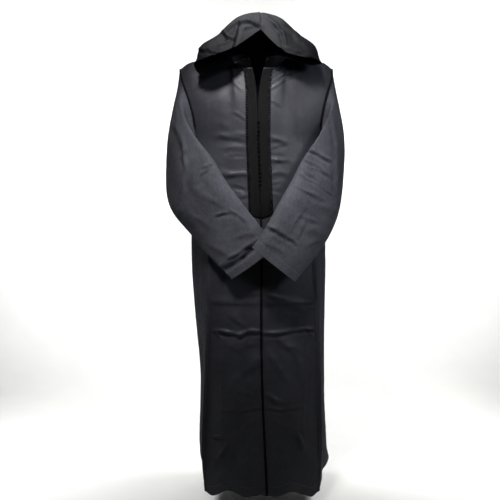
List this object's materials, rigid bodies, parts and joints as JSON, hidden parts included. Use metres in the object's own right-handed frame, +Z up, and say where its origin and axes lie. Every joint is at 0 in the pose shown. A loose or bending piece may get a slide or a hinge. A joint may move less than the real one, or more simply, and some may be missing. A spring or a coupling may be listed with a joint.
{
  "type": "djellaba",
  "caption": "Long hooded robe worn over other clothes, with wide sleeves, side slits and a braid-trimmed button placket; hollow worn form with folded forearms",
  "frame": {"origin": "in the middle of the wearer's neck, level with the neck ends of the shoulder seams", "axes": "+Z up the wearer, -Y the way the front faces, +X to the right of someone who looks at the front"},
  "size_m": [0.5755, 0.4247, 1.5481],
  "materials": {
    "front_left": "fine plain-weave suiting cloth, charcoal grey melange with a slight satin sheen",
    "front_right": "fine plain-weave suiting cloth, charcoal grey melange with a slight satin sheen",
    "back": "fine plain-weave suiting cloth, charcoal grey melange with a slight satin sheen",
    "side_gore_left": "fine plain-weave suiting cloth, charcoal grey melange with a slight satin sheen",
    "side_gore_right": "fine plain-weave suiting cloth, charcoal grey melange with a slight satin sheen",
    "sleeve_left": "fine plain-weave suiting cloth, charcoal grey melange with a slight satin sheen",
    "sleeve_right": "fine plain-weave suiting cloth, charcoal grey melange with a slight satin sheen",
    "hood_left": "fine plain-weave suiting cloth, charcoal grey melange with a slight satin sheen",
    "hood_right": "fine plain-weave suiting cloth, charcoal grey melange with a slight satin sheen",
    "placket_band_left": "flat black sfifa braid of fine silk-look cords with a picot edge",
    "placket_band_right": "flat black sfifa braid of fine silk-look cords with a picot edge",
    "centre_front_cord": "half-round black silk-look cord braided and sewn flat on the seam",
    "armhole_cord_left": "round black silk-look cord sewn along the armhole seam",
    "armhole_cord_right": "round black silk-look cord sewn along the armhole seam",
    "button_01": "small ball button knotted from black silk-look cord",
    "button_02": "small ball button knotted from black silk-look cord",
    "button_03": "small ball button knotted from black silk-look cord",
    "button_04": "small ball button knotted from black silk-look cord",
    "button_05": "small ball button knotted from black silk-look cord",
    "button_06": "small ball button knotted from black silk-look cord",
    "button_07": "small ball button knotted from black silk-look cord",
    "button_08": "small ball button knotted from black silk-look cord",
    "button_09": "small ball button knotted from black silk-look cord",
    "button_10": "small ball button knotted from black silk-look cord",
    "button_11": "small ball button knotted from black silk-look cord",
    "button_12": "small ball button knotted from black silk-look cord",
    "button_13": "small ball button knotted from black silk-look cord",
    "button_14": "small ball button knotted from black silk-look cord",
    "button_15": "small ball button knotted from black silk-look cord",
    "button_16": "small ball button knotted from black silk-look cord"
  },
  "bodies": {
    "root": {"front_left": "front_left", "front_right": "front_right", "back": "back", "side_gore_left": "side_gore_left", "side_gore_right": "side_gore_right", "sleeve_left": "sleeve_left", "sleeve_right": "sleeve_right", "hood_left": "hood_left", "hood_right": "hood_right", "placket_band_left": "placket_band_left", "placket_band_right": "placket_band_right", "centre_front_cord": "centre_front_cord", "armhole_cord_left": "armhole_cord_left", "armhole_cord_right": "armhole_cord_right", "button_01": "button_01", "button_02": "button_02", "button_03": "button_03", "button_04": "button_04", "button_05": "button_05", "button_06": "button_06", "button_07": "button_07", "button_08": "button_08", "button_09": "button_09", "button_10": "button_10", "button_11": "button_11", "button_12": "button_12", "button_13": "button_13", "button_14": "button_14", "button_15": "button_15", "button_16": "button_16"}
  },
  "joints": []
}
